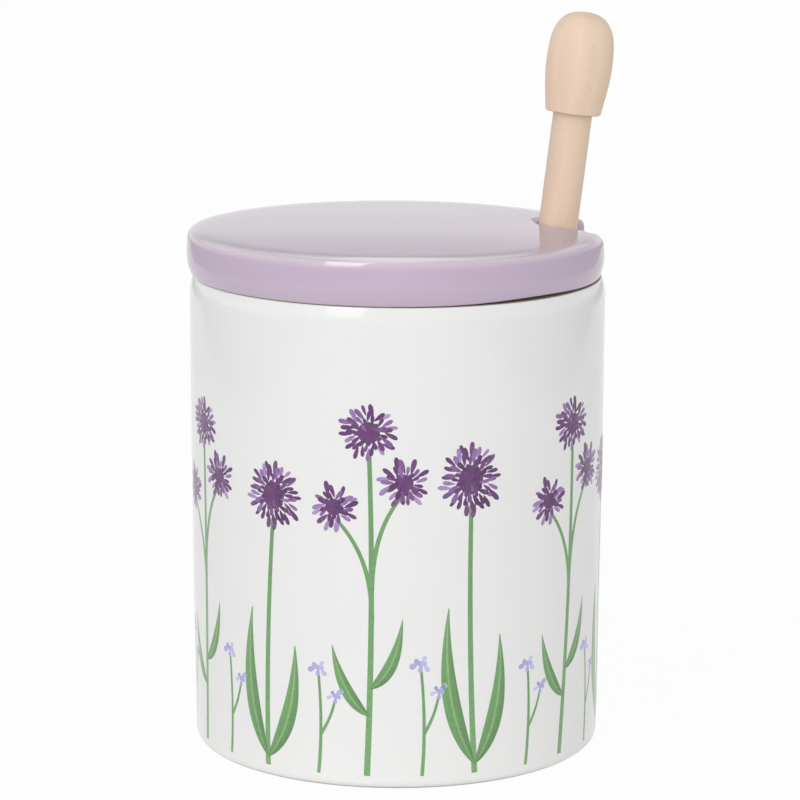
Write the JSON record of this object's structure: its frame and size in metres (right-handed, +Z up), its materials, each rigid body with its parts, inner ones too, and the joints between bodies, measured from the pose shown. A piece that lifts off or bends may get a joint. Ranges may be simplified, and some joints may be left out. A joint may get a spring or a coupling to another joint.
{
  "type": "honey pot with lid and dipper",
  "caption": "Straight-sided glazed stoneware pot with a thick loose lid, notched at its edge for a wooden honey dipper that stands in the pot.",
  "frame": {"origin": "centre of the jar's flat base, on the surface that the pot stands on", "axes": "+Z up along the jar's axis; the notch and the dipper are on the +X side, turned 11.6 degrees towards +Y; -Y is the side seen from the front"},
  "size_m": [0.0912, 0.0892, 0.1568],
  "materials": {
    "jar_glaze": "white gloss glaze",
    "lid_glaze": "pale lilac gloss glaze",
    "head_wood": "bare sanded wood",
    "stick_wood": "bare sanded wood",
    "knob_wood": "bare sanded wood"
  },
  "bodies": {
    "jar": {"jar": "jar_glaze"},
    "lid": {"lid": "lid_glaze"},
    "dipper": {"dipper_head": "head_wood", "dipper_stick": "stick_wood", "dipper_knob": "knob_wood"}
  },
  "joints": [
    {"name": "lid_lift", "type": "slide", "parent": "jar", "child": "lid", "axis": [-0.1363, -0.028, 0.9903], "range_m": [0, 0.065]},
    {"name": "dipper_lift", "type": "slide", "parent": "jar", "child": "dipper", "axis": [0.1194, 0.0245, 0.9925], "range_m": [0, 0.02]}
  ]
}
